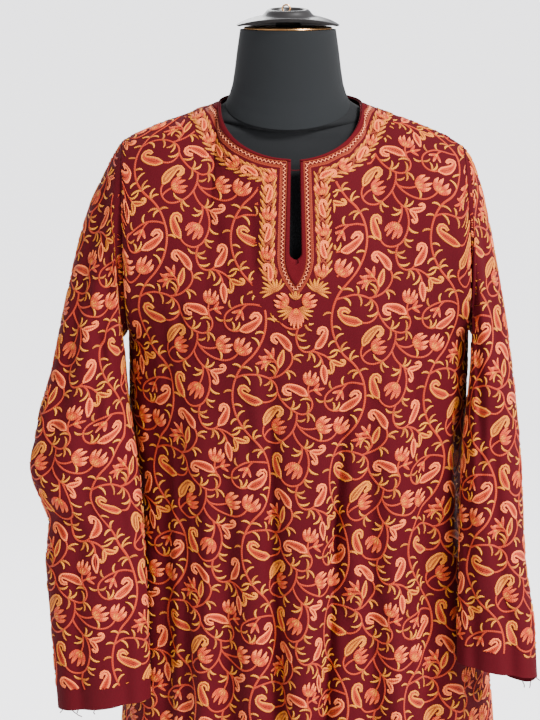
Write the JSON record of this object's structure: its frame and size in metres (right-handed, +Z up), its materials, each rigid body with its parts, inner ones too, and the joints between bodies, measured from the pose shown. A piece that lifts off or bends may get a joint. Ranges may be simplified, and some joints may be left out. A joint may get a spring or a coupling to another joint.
{
  "type": "pheran on a dress form",
  "caption": "Loose long-sleeved embroidered tunic with an oval neckline and a front slit, worn by a limbless dress form on a round stand.",
  "frame": {"origin": "centre of the stand base's underside, on the floor", "axes": "+Z up, the front of the garment faces -Y, +X is to the right of someone looking at its front"},
  "size_m": [0.5974, 0.41, 1.5173],
  "materials": {
    "embroidered_cloth": "fine maroon wool with chain-stitch embroidery in orange, pink, salmon and gold",
    "plain_cloth": "plain maroon facing cloth",
    "form_cover": "near-black woven cover",
    "neck_cover": "charcoal woven cover",
    "brass": "polished, coppery",
    "black_plastic": "glossy",
    "steel": "brushed"
  },
  "bodies": {
    "root": {"front": "embroidered_cloth", "back": "embroidered_cloth", "sleeve_left": "embroidered_cloth", "sleeve_right": "embroidered_cloth", "neck_facing": "plain_cloth", "slit_facing": "plain_cloth", "form_torso": "form_cover", "form_neck": "neck_cover", "neck_plate": "brass", "neck_cap": "black_plastic", "cap_loop": "brass", "stand_base": "steel", "stand_pole": "steel"}
  },
  "joints": []
}
